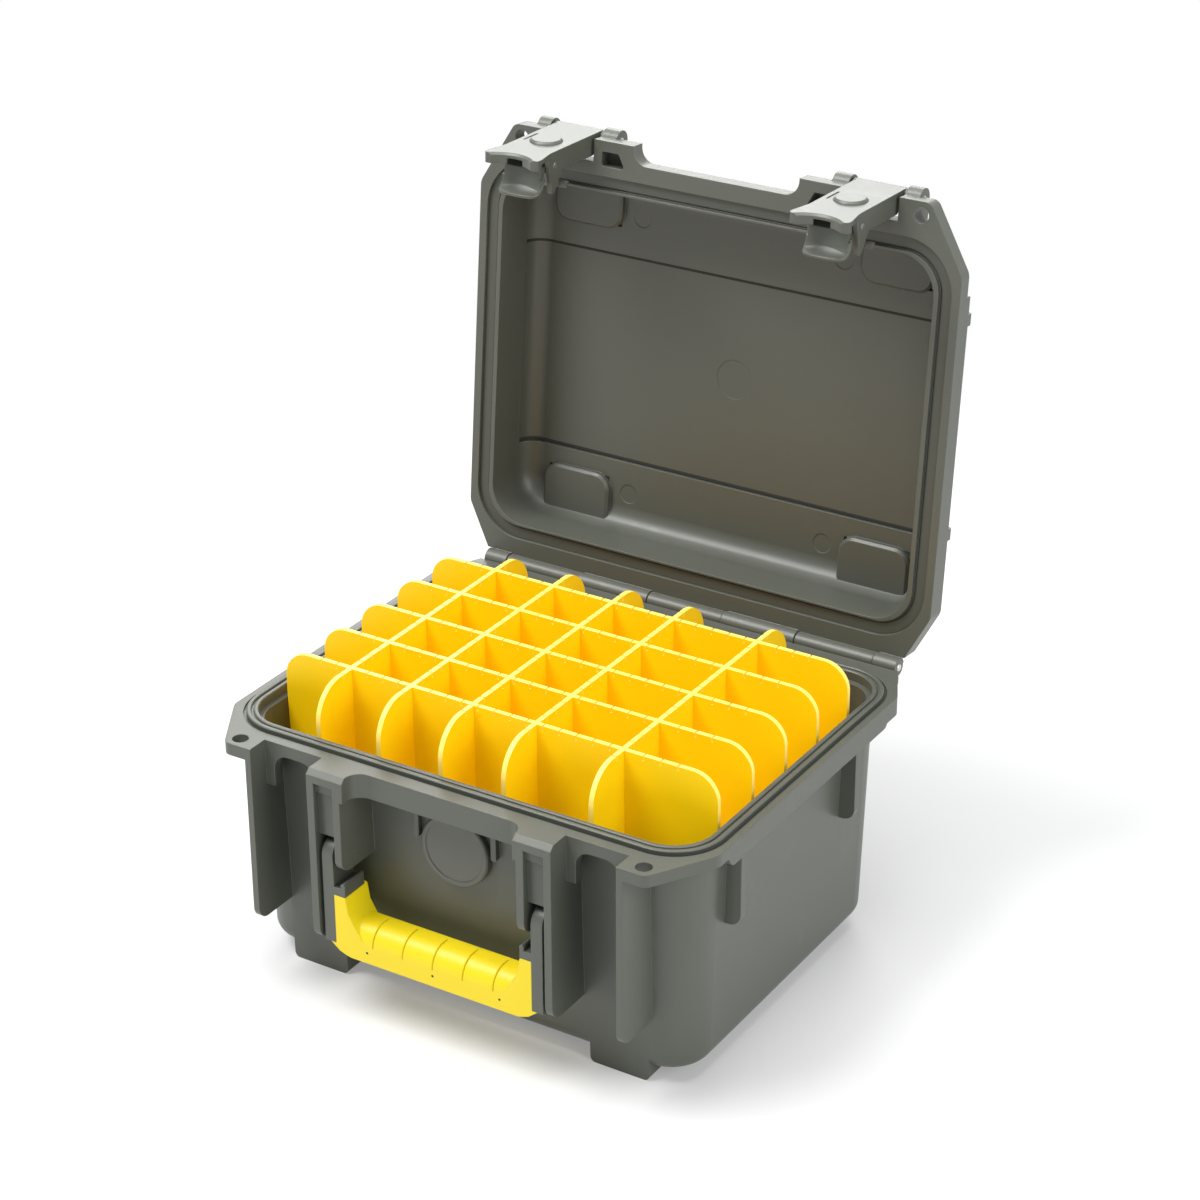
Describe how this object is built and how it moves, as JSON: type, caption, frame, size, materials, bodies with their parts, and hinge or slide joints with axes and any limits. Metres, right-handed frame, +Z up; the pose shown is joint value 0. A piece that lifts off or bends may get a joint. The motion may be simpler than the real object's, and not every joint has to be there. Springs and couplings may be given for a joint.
{
  "type": "lure case",
  "caption": "Hard lure case with hinged lid, toggle latches, swing handle, padlock eyes, relief valve and a tall rack of interlocked dividers.",
  "frame": {"origin": "on the floor, at the middle of the four feet and under the middle of the rack", "axes": "+Z up, the handle and latches face -Y, the hinge pin runs along X at the back (+Y), +X is to the right seen from the front"},
  "size_m": [0.278, 0.3014, 0.3766],
  "materials": {
    "shell": "moulded matte, fine grain",
    "divider": "translucent amber sheet, satin",
    "grip": "soft satin overmould",
    "rubber_seal": "dull",
    "steel": "drawn wire",
    "valve": "moulded matte",
    "membrane": "felt-like"
  },
  "bodies": {
    "base": {"base_shell": "shell", "hinge_pin": "steel", "valve_body": "valve", "valve_membrane": "membrane", "valve_seal": "rubber_seal", "valve_nut": "valve", "valve_cap": "valve", "left_handle_pin": "shell", "right_handle_pin": "shell", "long_divider_1": "divider", "long_divider_2": "divider", "long_divider_3": "divider", "long_divider_4": "divider", "long_divider_5": "divider", "cross_divider_1": "divider", "cross_divider_2": "divider", "cross_divider_3": "divider", "cross_divider_4": "divider", "cross_divider_5": "divider"},
    "lid": {"lid_shell": "shell", "lid_gasket": "rubber_seal", "left_latch_pin": "steel", "right_latch_pin": "steel"},
    "handle": {"handle_frame": "shell", "handle_grip": "grip"},
    "left_latch": {"left_latch_lever": "shell", "left_trigger_pin": "steel", "left_trigger_spring": "steel"},
    "left_trigger": {"left_latch_trigger": "shell"},
    "right_latch": {"right_latch_lever": "shell", "right_trigger_pin": "steel", "right_trigger_spring": "steel"},
    "right_trigger": {"right_latch_trigger": "shell"}
  },
  "joints": [
    {"name": "lid_hinge", "type": "hinge", "parent": "base", "child": "lid", "pos_m": [0, 0.1182, 0.1332], "axis": [1, 0, 0], "range_deg": [0, 95.5]},
    {"name": "left_latch_hinge", "type": "hinge", "parent": "lid", "child": "left_latch", "pos_m": [-0.08675, 0.15432, 0.36953], "axis": [-1, 0, 0], "range_deg": [0, 100]},
    {"name": "left_trigger_hinge", "type": "hinge", "parent": "left_latch", "child": "left_trigger", "pos_m": [-0.08675, 0.10823, 0.36793], "axis": [-1, 0, 0], "range_deg": [0, 10], "stiffness_Nm_per_rad": 0.03, "springref_deg": -8.59},
    {"name": "right_latch_hinge", "type": "hinge", "parent": "lid", "child": "right_latch", "pos_m": [0.08675, 0.15432, 0.36953], "axis": [-1, 0, 0], "range_deg": [0, 100]},
    {"name": "right_trigger_hinge", "type": "hinge", "parent": "right_latch", "child": "right_trigger", "pos_m": [0.08675, 0.10823, 0.36793], "axis": [-1, 0, 0], "range_deg": [0, 10], "stiffness_Nm_per_rad": 0.03, "springref_deg": -8.59},
    {"name": "handle_hinge", "type": "hinge", "parent": "base", "child": "handle", "pos_m": [0, -0.1145, 0.0873], "axis": [-1, 0, 0], "range_deg": [0, 90]}
  ]
}
